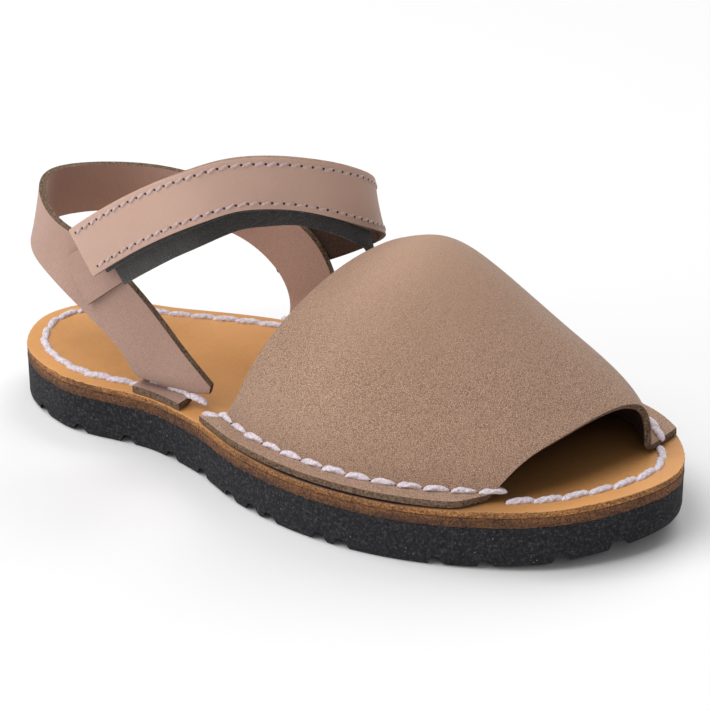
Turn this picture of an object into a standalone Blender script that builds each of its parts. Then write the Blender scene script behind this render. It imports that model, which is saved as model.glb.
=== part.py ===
"""Child's avarca sandal, right shoe, built from the pieces that a maker puts together.

Frame: +X towards the toe, +Z up, -Y on the lateral (outer) side of the foot.
The origin is on the floor, under the middle of the sole's bounding box.
All lengths are in metres.
"""
import math

import bmesh
import bpy
import numpy as np

# Sole: plan size and thickness of each layer
SHOE_LENGTH = 0.168
BALL_WIDTH = 0.0724
OUTSOLE_THICKNESS = 0.0094
MIDSOLE_THICKNESS = 0.0019
INSOLE_THICKNESS = 0.0016
TOE_SPRING = 0.0024
SPRING_START = 0.70
ARCH_LIFT = 0.0004
TREAD_SPRING = 0.0016
TREAD_SPRING_START = 0.78
TREAD_INSET = 0.0007
TREAD_BEVEL = 0.0016

# Tread: grooves cut up into the rubber from each side and along the middle
GROOVE_DEPTH = 0.0023
GROOVE_WIDTH = 0.0032
GROOVE_FLARE = 0.0009
GROOVE_SKEW = 14.0
RIB_HALF_WIDTH = 0.0065
SIPE_HALF_LENGTH = 0.0045

# Leather and clearances
GAP = 0.0003
VAMP_LEATHER = 0.0017
SLING_LEATHER = 0.0017
STRAP_LEATHER = 0.0016
TAB_LEATHER = 0.0012
TAPE_THICKNESS = 0.0010
STITCH_INSET = 0.0052
MEDIAL_TOE_INSET = 0.0028
MEDIAL_TOE_SPAN = (0.92, 0.55)
FOLD_RADIUS = 0.0015
FLANGE_INSET = 0.0002

# Upper: height of the instep over the insole, of the sling at the heel and of the strap
INSTEP_RISE = 0.0415
SLING_RISE = 0.0390
STRAP_RISE = 0.0590
STRAP_WIDTH = 0.0118
TAB_DROP = 0.0042

# Sole outline, clockwise from the heel seen from above.
# along: share of the length from the heel; across: share of half the ball width
FOOTPRINT = [
    # along, across
    (0.000, 0.000),
    (0.039, -0.444),
    (0.137, -0.688),
    (0.300, -0.672),
    (0.385, -0.772),
    (0.471, -0.948),
    (0.651, -1.064),
    (0.804, -0.897),
    (0.929, -0.549),
    (1.000, 0.152),
    (0.934, 0.659),
    (0.808, 0.910),
    (0.651, 0.936),
    (0.474, 0.797),
    (0.314, 0.784),
    (0.152, 0.560),
    (0.039, 0.370),
]

# Grooves of the tread, as shares of the length, for each side and the middle
GROOVES = [
    # side, along
    (-1, (0.075, 0.150, 0.225, 0.300, 0.362, 0.424, 0.467, 0.499, 0.579, 0.611, 0.740, 0.803, 0.893,
          0.956)),
    (0, (0.110, 0.190, 0.265, 0.340, 0.435, 0.550, 0.600, 0.690, 0.785, 0.880)),
    (1, (0.075, 0.150, 0.225, 0.300, 0.380, 0.455, 0.530, 0.640, 0.735, 0.835, 0.915)),
]

# Cross-sections of the vamp.
# rise: crest height as a share of the instep rise; crest: its place across, as a share of
# half the ball width; lean: how far each wall leans in, 1 is a plain ellipse
VAMP_SECTIONS = [
    # along, rise, crest, lean lateral, lean medial
    (0.390, 0.860, 0.000, 1.10, 1.00),
    (0.494, 0.925, 0.030, 1.10, 1.05),
    (0.579, 0.965, 0.060, 1.12, 1.10),
    (0.646, 1.035, 0.085, 1.15, 1.18),
    (0.708, 0.940, 0.080, 1.18, 1.30),
    (0.753, 0.820, 0.090, 1.20, 1.35),
    (0.798, 0.690, 0.110, 1.25, 1.35),
    (0.843, 0.570, 0.130, 1.32, 1.30),
    (0.888, 0.430, 0.150, 1.40, 1.15),
    (0.927, 0.310, 0.160, 1.40, 1.00),
    (0.958, 0.235, 0.165, 1.40, 0.90),
]

# Cut edges of the vamp, followed from the lateral fold (0) over the crest to the medial fold (1)
VAMP_EDGES = [
    # over, throat along, opening along
    (0.00, 0.428, 0.833),
    (0.05, 0.450, 0.846),
    (0.12, 0.470, 0.864),
    (0.20, 0.494, 0.886),
    (0.30, 0.524, 0.904),
    (0.40, 0.552, 0.917),
    (0.50, 0.580, 0.926),
    (0.60, 0.596, 0.931),
    (0.70, 0.586, 0.934),
    (0.80, 0.548, 0.936),
    (0.90, 0.495, 0.939),
    (1.00, 0.448, 0.944),
]
FLANGE_ENDS = {
    # side: throat along, opening along, at the flange's outer edge
    -1: (0.390, 0.802),
    1: (0.424, 0.950),
}

# Heel strap, from the medial foot round the heel to the lateral foot.
# along: share of the length; across: share of half the ball width;
# height over the insole: share of the sling rise
SLING_ROWS = [
    # rear edge: along, across, height; front edge: along, across, height
    (0.331, 0.700, 0.130, 0.408, 0.715, 0.150),
    (0.312, 0.735, 0.330, 0.395, 0.735, 0.440),
    (0.270, 0.745, 0.470, 0.364, 0.735, 0.640),
    (0.214, 0.725, 0.560, 0.308, 0.715, 0.780),
    (0.140, 0.590, 0.620, 0.225, 0.640, 0.890),
    (0.068, 0.390, 0.660, 0.120, 0.490, 0.960),
    (0.022, 0.000, 0.680, 0.030, 0.020, 1.000),
    (0.068, -0.430, 0.660, 0.120, -0.520, 0.960),
    (0.140, -0.620, 0.590, 0.220, -0.630, 0.860),
    (0.206, -0.660, 0.440, 0.292, -0.640, 0.640),
    (0.252, -0.640, 0.270, 0.350, -0.590, 0.330),
    (0.268, -0.600, 0.120, 0.385, -0.545, 0.110),
]
SLING_FEET = {
    # side: rear along, front along, at the fold; the flange outside it is cut the same
    1: (0.331, 0.404),
    -1: (0.262, 0.348),
}

# Ankle strap, centre line from its seam on the medial side of the sling to its lateral end.
# along, across as above; height over the insole: share of the strap rise;
# lean: tilt of the band's upper edge towards the leg in degrees
STRAP_ROWS = [
    # along, across, height, lean
    (0.281, 0.790, 0.300, 0.0),
    (0.348, 0.790, 0.385, 0.0),
    (0.399, 0.770, 0.460, 5.0),
    (0.449, 0.690, 0.550, 12.0),
    (0.499, 0.500, 0.665, 14.0),
    (0.531, 0.200, 0.785, 8.0),
    (0.529, -0.050, 0.875, 2.0),
    (0.508, -0.260, 0.935, -2.0),
    (0.474, -0.440, 0.965, 2.0),
    (0.433, -0.590, 0.962, 5.0),
    (0.388, -0.710, 0.912, 6.0),
    (0.326, -0.770, 0.817, 5.0),
    (0.264, -0.785, 0.700, 3.0),
    (0.213, -0.785, 0.590, 0.0),
    (0.168, -0.770, 0.490, 0.0),
]
# Shares of the strap's own length: where it lies flat on the sling at each end, and where
# the layers of the closure begin and end
MEDIAL_SEAM = (0.10, 0.26)
LATERAL_SEAM = (0.94, 0.74)
STRAP_SPAN = (0.00, 0.93)
HOOK_SPAN = (0.50, 0.91)
LOOP_SPAN = (0.31, 0.90)
TAB_SPAN = (0.29, 1.00)
# How much of the tab's drop is left at the front of the foot, and where it fades
FRONT_DROP = 0.5
DROP_SPAN = (0.60, 0.40)

OUTLINE_POINTS = 720
SOLE_STATIONS = 44
VAMP_ROWS = 14
VAMP_COLUMNS = 30
BAND_COLUMNS = 4


def clear_scene():
    """Remove what the file holds, so that the sandal stands alone."""
    for item in list(bpy.data.objects):
        bpy.data.objects.remove(item, do_unlink=True)


def smooth(knots, values, wanted):
    """Values of a smooth curve through a table, read at the wanted places."""
    knots = np.asarray(knots, dtype=float)
    values = np.asarray(values, dtype=float)
    wanted = np.atleast_1d(np.asarray(wanted, dtype=float))
    if values.ndim == 1:
        return smooth(knots, values[:, None], wanted)[:, 0]
    slopes = np.gradient(values, knots, axis=0)
    index = np.clip(np.searchsorted(knots, wanted, side="right") - 1, 0, len(knots) - 2)
    span = (knots[index + 1] - knots[index])[:, None]
    t = (wanted - knots[index])[:, None] / span
    return (
        values[index] * (2 * t**3 - 3 * t**2 + 1)
        + slopes[index] * span * (t**3 - 2 * t**2 + t)
        + values[index + 1] * (3 * t**2 - 2 * t**3)
        + slopes[index + 1] * span * (t**3 - t**2)
    )


def chord_knots(points):
    """Knots that follow the distance between points."""
    steps = np.linalg.norm(np.diff(points, axis=0), axis=1)
    return np.concatenate([[0.0], np.cumsum(steps)])


def ramp(value, full, none):
    """Smooth weight that is 1 at full and 0 at none."""
    share = np.clip((value - none) / (full - none), 0.0, 1.0)
    return share**2 * (3 - 2 * share)


def sole_outline():
    """Closed outline of the sole, centred on the origin, from heel to heel."""
    table = np.array(FOOTPRINT) * (SHOE_LENGTH, BALL_WIDTH / 2)
    wrapped = np.vstack([table[-3:], table, table[:3]])
    knots = chord_knots(wrapped)
    first, last = knots[3], knots[3 + len(table)]
    places = np.linspace(first, last, OUTLINE_POINTS, endpoint=False)
    points = smooth(knots, wrapped, places)
    low, high = points.min(axis=0), points.max(axis=0)
    points = (points - low) / (high - low) * (SHOE_LENGTH, BALL_WIDTH)
    return points - np.array([SHOE_LENGTH, BALL_WIDTH]) / 2


OUTLINE = sole_outline()


def place_across(share):
    """Y of a share of half the ball width, measured from the heel's own middle."""
    heel = OUTLINE[np.argmin(OUTLINE[:, 0]), 1]
    return heel + np.asarray(share) * BALL_WIDTH / 2


def place_along(share):
    """X of a share of the length."""
    return (np.asarray(share) - 0.5) * SHOE_LENGTH


def inset_outline(inset):
    """The outline moved inwards by a distance, as a lateral and a medial branch over X."""
    ahead = np.roll(OUTLINE, -1, axis=0) - np.roll(OUTLINE, 1, axis=0)
    normal = np.stack([-ahead[:, 1], ahead[:, 0]], axis=1)
    normal /= np.linalg.norm(normal, axis=1)[:, None]
    points = OUTLINE + normal * inset
    heel, toe = np.argmin(points[:, 0]), np.argmax(points[:, 0])
    ring = np.roll(points, -heel, axis=0)
    toe = (toe - heel) % len(points)
    lateral = ring[: toe + 1]
    medial = np.vstack([ring[toe:], ring[:1]])[::-1]
    return lateral, medial


def side_y(x, side, inset):
    """Y of the inset outline at X, on the lateral (-1) or medial (+1) side."""
    lateral, medial = inset_outline(inset)
    branch = lateral if side < 0 else medial
    return np.interp(x, branch[:, 0], branch[:, 1])


def spring_lift(x):
    """Rise of the sole towards the toe, above its flat part."""
    start = place_along(SPRING_START)
    share = np.clip((x - start) / (SHOE_LENGTH / 2 - start), 0.0, None)
    return TOE_SPRING * share**2


def tread_lift(x):
    """Rise of the tread over the sole's own spring, where the rubber thins at the toe."""
    start = place_along(TREAD_SPRING_START)
    share = np.clip((x - start) / (SHOE_LENGTH / 2 - start), 0.0, None)
    return TREAD_SPRING * share**2


def arch_lift(x):
    """Small lift of the tread under the arch of the foot."""
    share = np.clip(1.0 - np.abs(x - place_along(0.42)) / (0.14 * SHOE_LENGTH), 0.0, 1.0)
    return ARCH_LIFT * share**2 * (3 - 2 * share)


def insole_top(x):
    """Height of the footbed at X."""
    stack = OUTSOLE_THICKNESS + MIDSOLE_THICKNESS + INSOLE_THICKNESS + 2 * GAP
    return stack + spring_lift(x)


def make_material(name, colour, roughness):
    """Plain material of one sub-part."""
    material = bpy.data.materials.new(name)
    material.use_nodes = True
    shader = material.node_tree.nodes["Principled BSDF"]
    shader.inputs["Base Color"].default_value = (*colour, 1.0)
    shader.inputs["Roughness"].default_value = roughness
    shader.inputs["Metallic"].default_value = 0.0
    return material


def make_object(name, vertices, faces, material):
    """One closed solid, with its faces pointing out and its round faces smooth."""
    mesh = bpy.data.meshes.new(name)
    mesh.from_pydata([tuple(v) for v in vertices], [], faces)
    work = bmesh.new()
    work.from_mesh(mesh)
    bmesh.ops.recalc_face_normals(work, faces=work.faces)
    work.to_mesh(mesh)
    work.free()
    mesh.materials.append(material)
    mesh.shade_smooth()
    mesh.set_sharp_from_angle(angle=math.radians(40))
    item = bpy.data.objects.new(name, mesh)
    bpy.context.collection.objects.link(item)
    return item


def sole_layer(name, levels, material):
    """A sole layer from levels of (inset, height over X), lowest first."""
    vertices, rings = [], []
    turns = np.linspace(0.0, math.pi, SOLE_STATIONS + 1)
    for inset, height in levels:
        x = -np.cos(turns) * (SHOE_LENGTH / 2 - inset)
        sides = [side_y(x, side, inset) for side in (-1, 1)]
        middle = (sides[0] + sides[1]) / 2
        ring = []
        for k, (station, z) in enumerate(zip(x, height(x))):
            closed = k in (0, SOLE_STATIONS)
            ends = [middle[k]] if closed else [sides[0][k], sides[1][k]]
            ring.append([len(vertices) + n for n in range(len(ends))])
            vertices += [(station, y, z) for y in ends]
        rings.append(ring)
    faces = []
    for ring in (rings[0], rings[-1]):
        faces += [(*a, *reversed(b)) for a, b in zip(ring, ring[1:])]
    for below, above in zip(rings, rings[1:]):
        for end in (0, -1):
            edge = [(a[end], b[end]) for a, b in zip(below, above)]
            faces += [(p[0], q[0], q[1], p[1]) for p, q in zip(edge, edge[1:])]
    return make_object(name, vertices, faces, material)


def groove_cutter():
    """All grooves of the tread as one set of flared bars that stand below the sole."""
    vertices, faces = [], []
    reach = BALL_WIDTH / 2 + GROOVE_WIDTH
    for side, places in GROOVES:
        for share in places:
            x = float(place_along(share))
            centre = float(side_y(x, -1, 0) + side_y(x, 1, 0)) / 2
            ends = (centre + RIB_HALF_WIDTH * side, centre + reach * side)
            if side == 0:
                ends = (centre - SIPE_HALF_LENGTH, centre + SIPE_HALF_LENGTH)
            slant = math.tan(math.radians(GROOVE_SKEW)) * (side if side else 1)
            floor = float(spring_lift(x) + tread_lift(x) + arch_lift(x))
            roof = floor + GROOVE_DEPTH
            first = len(vertices)
            for y in sorted(ends):
                shift = (y - ends[0]) * slant
                for z, half in ((floor - GROOVE_DEPTH, GROOVE_WIDTH / 2 + GROOVE_FLARE),
                                (roof, GROOVE_WIDTH / 2 - GROOVE_FLARE / 2)):
                    vertices += [(x + shift - half, y, z), (x + shift + half, y, z)]
            box = [(0, 1, 3, 2), (4, 6, 7, 5), (0, 4, 5, 1), (2, 3, 7, 6), (0, 2, 6, 4), (1, 5, 7, 3)]
            faces += [tuple(first + n for n in face) for face in box]
    cutter = make_object("groove_cutter", vertices, faces, make_material("cutter", (1, 0, 0), 1))
    cutter.hide_render = True
    cutter.display_type = "WIRE"
    return cutter


def build_soles():
    """Outsole, midsole and insole."""
    rubber = make_material("black_rubber", (0.028, 0.028, 0.033), 0.85)
    board = make_material("brown_board", (0.16, 0.06, 0.02), 0.8)
    tan = make_material("tan_leather", (0.60, 0.30, 0.12), 0.55)

    outsole = sole_layer("outsole", [
        (TREAD_INSET, lambda x: spring_lift(x) + tread_lift(x) + arch_lift(x)),
        (0.0, lambda x: spring_lift(x) + tread_lift(x) + TREAD_BEVEL),
        (0.0, lambda x: spring_lift(x) + OUTSOLE_THICKNESS),
    ], rubber)
    cut = outsole.modifiers.new("grooves", "BOOLEAN")
    cut.operation = "DIFFERENCE"
    cut.solver = "EXACT"
    cut.object = groove_cutter()

    board_floor = OUTSOLE_THICKNESS + GAP
    sole_layer("midsole", [
        (0.0, lambda x: spring_lift(x) + board_floor),
        (0.0, lambda x: spring_lift(x) + board_floor + MIDSOLE_THICKNESS),
    ], board)
    sole_layer("insole", [
        (0.0, lambda x: insole_top(x) - INSOLE_THICKNESS),
        (0.0, insole_top),
    ], tan)


def grid_normals(grid):
    """Unit normals of a grid of points, rows along and columns across."""
    along = np.gradient(grid, axis=0)
    across = np.gradient(grid, axis=1)
    normals = np.cross(along, across)
    return normals / np.linalg.norm(normals, axis=2)[:, :, None]


def sheet_solid(name, grid, thickness, material):
    """Leather or tape of one thickness, its middle on the grid."""
    rows, columns = grid.shape[:2]
    normals = grid_normals(grid)
    count = rows * columns
    vertices = np.vstack([(grid + normals * thickness / 2).reshape(-1, 3),
                          (grid - normals * thickness / 2).reshape(-1, 3)])

    def index(row, column, face):
        return face * count + row * columns + column

    faces = []
    for row in range(rows - 1):
        for column in range(columns - 1):
            for face in (0, 1):
                faces.append(tuple(index(row + r, column + c, face)
                                   for r, c in ((0, 0), (0, 1), (1, 1), (1, 0))))
    border = [(0, c) for c in range(columns)] + [(r, columns - 1) for r in range(1, rows)]
    border += [(rows - 1, c) for c in range(columns - 2, -1, -1)]
    border += [(r, 0) for r in range(rows - 2, 0, -1)]
    for here, there in zip(border, border[1:] + border[:1]):
        faces.append((index(*here, 0), index(*there, 0), index(*there, 1), index(*here, 1)))
    return make_object(name, vertices, faces, material)


def flange_profile(leather):
    """Inset and height over the insole of the turned-out edge, from its rim to the wall."""
    flat = GAP + leather / 2
    start = STITCH_INSET - FOLD_RADIUS
    profile = [(FLANGE_INSET, flat), ((FLANGE_INSET + start) / 2, flat)]
    for turn in np.radians([0, 30, 60]):
        inset = start + FOLD_RADIUS * math.sin(turn)
        profile.append((inset, flat + FOLD_RADIUS * (1 - math.cos(turn))))
    return profile


def vamp_side(x, side, inset):
    """Y of a line of the vamp's turned-out edge, whose medial wall stands further in at the toe."""
    if side < 0:
        return side_y(x, side, inset)
    share = (inset - FLANGE_INSET) / (STITCH_INSET - FLANGE_INSET)
    extra = MEDIAL_TOE_INSET * ramp(x / SHOE_LENGTH + 0.5, *MEDIAL_TOE_SPAN) * share
    return side_y(x, side, inset + float(extra))


def wall_foot(leather):
    """Height over the insole at which the wall leaves the fold."""
    return GAP + leather / 2 + FOLD_RADIUS


def vamp_arch(x, over):
    """Point of the vamp at X, a share of the way over the foot."""
    section = smooth([s[0] for s in VAMP_SECTIONS], [s[1:] for s in VAMP_SECTIONS],
                     x / SHOE_LENGTH + 0.5)[0]
    rise, crest, lean_lateral, lean_medial = section
    foot = insole_top(x) + wall_foot(VAMP_LEATHER)
    top = insole_top(x) + rise * INSTEP_RISE
    middle = place_across(crest)
    turn = math.pi * over
    side = -1 if over < 0.5 else 1
    lean = lean_lateral if side < 0 else lean_medial
    base = vamp_side(x, side, STITCH_INSET)
    y = middle + (base - middle) * abs(math.cos(turn)) ** lean
    return x, y, foot + (top - foot) * math.sin(turn)


def vamp_grid():
    """Middle of the vamp: flange, fold, arch, fold and flange, from throat to opening."""
    profile = flange_profile(VAMP_LEATHER)
    edges = np.array(VAMP_EDGES)
    overs = np.linspace(0.0, 1.0, VAMP_COLUMNS + 1)
    throat = place_along(smooth(edges[:, 0], edges[:, 1], overs))
    opening = place_along(smooth(edges[:, 0], edges[:, 2], overs))
    grid = []
    for share in np.linspace(0.0, 1.0, VAMP_ROWS + 1):
        row = []
        for side in (-1, 1):
            fold = 0 if side < 0 else -1
            x_fold = throat[fold] + (opening[fold] - throat[fold]) * share
            ends = place_along(FLANGE_ENDS[side])
            x_rim = ends[0] + (ends[1] - ends[0]) * share
            part = []
            for inset, height in profile:
                x = x_rim + (x_fold - x_rim) * (inset - FLANGE_INSET) / (STITCH_INSET - FLANGE_INSET)
                part.append((x, vamp_side(x, side, inset), insole_top(x) + height))
            row.append(part)
        arch = [vamp_arch(a + (b - a) * share, over) for a, b, over in zip(throat, opening, overs)]
        grid.append(row[0] + arch + row[1][::-1])
    return np.array(grid)


def sling_edge_points(row):
    """The two edge points of one row of the heel strap."""
    points = []
    for along, across, height in (row[:3], row[3:]):
        x = float(place_along(along))
        points.append((x, float(place_across(across)), insole_top(x) + height * SLING_RISE))
    return points


def sling_foot(side):
    """Rows of one foot of the heel strap, from the flange's rim to the start of its wall."""
    rear, front = place_along(SLING_FEET[side])
    steps = flange_profile(SLING_LEATHER)
    steps.append((STITCH_INSET, wall_foot(SLING_LEATHER)))
    rows = []
    for inset, height in steps:
        x = np.linspace(rear, front, BAND_COLUMNS + 1)
        rows.append(np.stack([x, side_y(x, side, inset), insole_top(x) + height], axis=1))
    return np.array(rows)


def sling_wall(places):
    """Rows of the heel strap's wall at shares of the way from medial to lateral."""
    edges = np.array([sling_edge_points(row) for row in SLING_ROWS])
    feet = [sling_foot(side)[-1] for side in (1, -1)]
    edges = np.concatenate([[feet[0][[0, -1]]], edges, [feet[1][[0, -1]]]])
    knots = chord_knots(edges.mean(axis=1))
    flat = smooth(knots / knots[-1], edges.reshape(len(edges), -1), places).reshape(-1, 2, 3)
    share = np.linspace(0.0, 1.0, BAND_COLUMNS + 1)[None, :, None]
    return flat[:, :1] * (1 - share) + flat[:, 1:] * share


def sling_grid(rows=46):
    """Middle of the heel strap, with a turned-out foot at each end."""
    wall = sling_wall(np.linspace(0.0, 1.0, rows))
    return np.concatenate([sling_foot(1)[:-1], wall, sling_foot(-1)[:-1][::-1]])


def beside_sling(points, side):
    """Y of the heel strap's middle next to each point, on one side of the foot."""
    wall = sling_wall(np.linspace(0.0, 1.0, 160)).reshape(-1, 3)
    wall = wall[wall[:, 1] * side > 0]
    flat = points.reshape(-1, 3)
    away = (flat[:, None, 0] - wall[None, :, 0]) ** 2 + (flat[:, None, 2] - wall[None, :, 2]) ** 2
    return wall[np.argmin(away, axis=1), 1].reshape(points.shape[:-1])


def closure_depth():
    """Distance from the middle of the strap in to the middle of the tab."""
    tapes = 2 * TAPE_THICKNESS + 3 * GAP
    return STRAP_LEATHER / 2 + tapes + TAB_LEATHER / 2


def strap_band(span, depth=0.0, drop=0.0, rows=40):
    """Grid of a layer of the ankle strap: its span along, its depth inside and its drop."""
    table = np.array(STRAP_ROWS)
    x = place_along(table[:, 0])
    height = insole_top(x) + table[:, 2] * STRAP_RISE
    path = np.stack([x, place_across(table[:, 1]), height], axis=1)
    knots = chord_knots(path)
    shares = np.linspace(span[0], span[1], rows)
    centre = smooth(knots / knots[-1], path, shares)
    lean = np.radians(smooth(knots / knots[-1], table[:, 3], shares))[:, None]
    step = 0.001
    ahead = smooth(knots / knots[-1], path, shares + step)
    tangent = ahead - smooth(knots / knots[-1], path, shares - step)
    tangent /= np.linalg.norm(tangent, axis=1)[:, None]
    outward = np.cross((0.0, 0.0, 1.0), tangent)
    outward /= np.linalg.norm(outward, axis=1)[:, None]
    upward = np.cross(tangent, outward)
    width = upward * np.cos(lean) - outward * np.sin(lean)
    face = outward * np.cos(lean) + upward * np.sin(lean)
    fall = drop * (FRONT_DROP + (1 - FRONT_DROP) * ramp(shares, *DROP_SPAN))[:, None, None]
    across = np.linspace(-0.5, 0.5, BAND_COLUMNS + 1)[None, :, None] * STRAP_WIDTH - fall
    grid = centre[:, None] + width[:, None] * across - face[:, None] * depth

    medial_seat = (SLING_LEATHER + STRAP_LEATHER) / 2 + GAP - depth
    lateral_seat = (SLING_LEATHER + TAB_LEATHER) / 2 + GAP + closure_depth() - depth
    for side, seam, seat in ((1, MEDIAL_SEAM, medial_seat), (-1, LATERAL_SEAM, lateral_seat)):
        weight = ramp(shares, *seam)[:, None]
        target = beside_sling(grid, side) + side * seat
        grid[:, :, 1] += (target - grid[:, :, 1]) * weight
    return grid


def build_uppers():
    """Vamp, heel strap, ankle strap and its closure."""
    nubuck = make_material("taupe_nubuck", (0.38, 0.25, 0.18), 0.8)
    tape = make_material("black_tape", (0.02, 0.02, 0.022), 0.95)
    sheet_solid("vamp", vamp_grid(), VAMP_LEATHER, nubuck)
    sheet_solid("heel_strap", sling_grid(), SLING_LEATHER, nubuck)
    sheet_solid("ankle_strap", strap_band(STRAP_SPAN), STRAP_LEATHER, nubuck)

    depth = (STRAP_LEATHER + TAPE_THICKNESS) / 2 + GAP
    sheet_solid("hook_tape", strap_band(HOOK_SPAN, depth, 0.0, 24), TAPE_THICKNESS, tape)
    depth += TAPE_THICKNESS + GAP
    sheet_solid("loop_tape", strap_band(LOOP_SPAN, depth, TAB_DROP, 30), TAPE_THICKNESS, tape)
    tab = strap_band(TAB_SPAN, closure_depth(), TAB_DROP, 34)
    sheet_solid("closure_tab", tab, TAB_LEATHER, nubuck)


clear_scene()
build_soles()
build_uppers()
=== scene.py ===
"""Looks of the avarca sandal: leather, rubber, thread, light and camera around the CAD frame.

Row frame: +X towards the toe, +Z up, -Y on the lateral side of the right foot. Metres.
"""

import math

import bmesh
import bpy
import numpy as np
from mathutils import Matrix, Vector, noise
from mathutils.bvhtree import BVHTree


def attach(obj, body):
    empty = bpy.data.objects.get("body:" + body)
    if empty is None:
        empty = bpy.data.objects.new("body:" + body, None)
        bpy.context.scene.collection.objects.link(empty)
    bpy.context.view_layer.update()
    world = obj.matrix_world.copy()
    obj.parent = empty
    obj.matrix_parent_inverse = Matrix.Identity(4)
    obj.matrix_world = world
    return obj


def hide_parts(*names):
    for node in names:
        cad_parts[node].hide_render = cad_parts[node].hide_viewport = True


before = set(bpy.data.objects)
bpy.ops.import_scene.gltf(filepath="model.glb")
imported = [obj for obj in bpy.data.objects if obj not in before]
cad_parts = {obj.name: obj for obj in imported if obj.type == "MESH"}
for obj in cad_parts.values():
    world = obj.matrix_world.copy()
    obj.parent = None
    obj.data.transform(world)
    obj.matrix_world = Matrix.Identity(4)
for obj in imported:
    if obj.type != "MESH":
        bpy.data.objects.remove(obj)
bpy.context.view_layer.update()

MM = 0.001

# Camera, in the row frame: angle and distance as fitted to the photograph
CAMERA_AZIMUTH = math.radians(32.891)
CAMERA_ELEVATION = math.radians(25.591)
CAMERA_ROLL = math.radians(0.303)
CAMERA_DISTANCE = 0.5629
CAMERA_LENS = 129.0
LOOK_AT = (0.0095, -0.0046, 0.0289)

# Point that the lights look at
LIGHT_TARGET = (0.0, 0.0, 0.03)

# Clearance between the CAD layers, and how far the rubber is drawn up into it
GAP = 0.3 * MM
OVERLAP = 0.2 * MM

# Sole
OUTLINE_STEPS = 300
CAP_COLUMNS = 10
TREAD_BEVEL = 1.6 * MM
TREAD_SPRING = 1.6 * MM
TREAD_SPRING_START = 0.78
GROOVE_DEPTH = 2.2 * MM
GROOVE_WIDTH = 3.4 * MM
GROOVE_FLARE = 1.5 * MM
GROOVE_SKEW = math.radians(14.0)
RIB_HALF_WIDTH = 6.5 * MM
SIPE_HALF_LENGTH = 4.5 * MM
GROOVES = [
    # side, places along the sole as shares of its length
    (-1, (0.075, 0.150, 0.225, 0.300, 0.362, 0.424, 0.467, 0.499, 0.579, 0.611, 0.740, 0.803, 0.893,
          0.956)),
    (0, (0.110, 0.190, 0.265, 0.340, 0.435, 0.550, 0.600, 0.690, 0.785, 0.880)),
    (1, (0.075, 0.150, 0.225, 0.300, 0.380, 0.455, 0.530, 0.640, 0.735, 0.835, 0.915)),
]

# Thread of the sole seam
SEAM_INSET = 4.2 * MM
SEAM_TOE_INSET = 4.9 * MM
SEAM_PITCH = 5.9 * MM
SEAM_LENGTH = 6.1 * MM
SEAM_WIDTH = 2.1 * MM
SEAM_HEIGHT = 1.5 * MM
ROPE_LENGTH = 6.7 * MM
ROPE_WIDTH = 1.75 * MM
SEAM_HOLE = 0.55 * MM
SEAM_REACH = 2.4 * MM
SEAM_RAY_TOP = 30 * MM
SEAM_TOE_START = 0.70
SEAM_TOE_SPAN = 0.25
ROPE_FRONT = 0.82
ROPE_REAR = 0.43
ROPE_FADE = 0.05

# Seams of the ankle strap
STRAP_SEAM_INSET = 1.5 * MM
STRAP_SEAM_PITCH = 2.6 * MM
STRAP_STITCH = (2.3 * MM, 0.80 * MM, 0.50 * MM)
STRAP_STITCH_SLANT = 0.36 * MM
STRAP_HOLE = 0.30 * MM
STRAP_SAMPLES = 240
CORNER_REACH = 4
CORNER_SPACING = 12

# How much lower the tapes sit than their solids
TAPE_DROP = 1.0 * MM

# Turned-out ends of a sheet lie below this height
FLANGE_LEVEL = 22.0 * MM

# Heights between which the nap of the nubuck is rubbed smooth
NAP_FULL = 0.034
NAP_TOP = 0.056

# Painted shade on the footbed under the vamp: where it fades in behind and out in front, and its slant
PAINTED_SHADE_REAR = (-0.02, 0.01)
PAINTED_SHADE_FRONT = (0.048, 0.077)
PAINTED_SHADE_SLANT = -0.30

# Leather sheets: rounding of the cut edges and subdivision
EDGE_ROUND = 0.25 * MM
SHEET_SUBDIVISION = 2


def hermite(knots, values, wanted):
    """Smooth curve through a table, read at the wanted places."""
    slopes = np.gradient(values, knots, axis=0)
    index = np.clip(np.searchsorted(knots, wanted, side="right") - 1, 0, len(knots) - 2)
    span = (knots[index + 1] - knots[index])[:, None]
    t = (wanted - knots[index])[:, None] / span
    return (
        values[index] * (2 * t**3 - 3 * t**2 + 1)
        + slopes[index] * span * (t**3 - 2 * t**2 + t)
        + values[index + 1] * (3 * t**2 - 2 * t**3)
        + slopes[index + 1] * span * (t**3 - t**2)
    )


def lengths(points):
    """Running length along a row of points."""
    return np.concatenate([[0.0], np.cumsum(np.linalg.norm(np.diff(points, axis=0), axis=1))])


def node_points(name):
    """Vertices of a CAD node."""
    return np.array([v.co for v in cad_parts[name].data.vertices])


def sole_branches():
    """Lateral and medial halves of the sole's outline, heel to toe, with the same count."""
    points = node_points("insole")
    keys = np.round(points[:, :2], 6)
    corners = np.unique(keys, axis=0)
    middle = corners.mean(axis=0)
    turn = np.arctan2(*(corners - middle).T[::-1])
    ring = corners[np.argsort(turn)]
    ring = np.roll(ring, -int(np.argmin(ring[:, 0])), axis=0)
    wrapped = np.vstack([ring[-4:], ring, ring[:5]])
    knots = lengths(wrapped)
    toe = 4 + int(np.argmax(ring[:, 0]))
    steps = OUTLINE_STEPS + 1
    lateral = hermite(knots, wrapped, np.linspace(knots[4], knots[toe], steps))
    end = knots[4 + len(ring)]
    medial = hermite(knots, wrapped, np.linspace(end, knots[toe], steps))
    return lateral, medial


LATERAL, MEDIAL = sole_branches()
RING = np.vstack([LATERAL[:-1], MEDIAL[:0:-1]])
LENGTH = float(np.ptp(RING[:, 0]))


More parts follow.
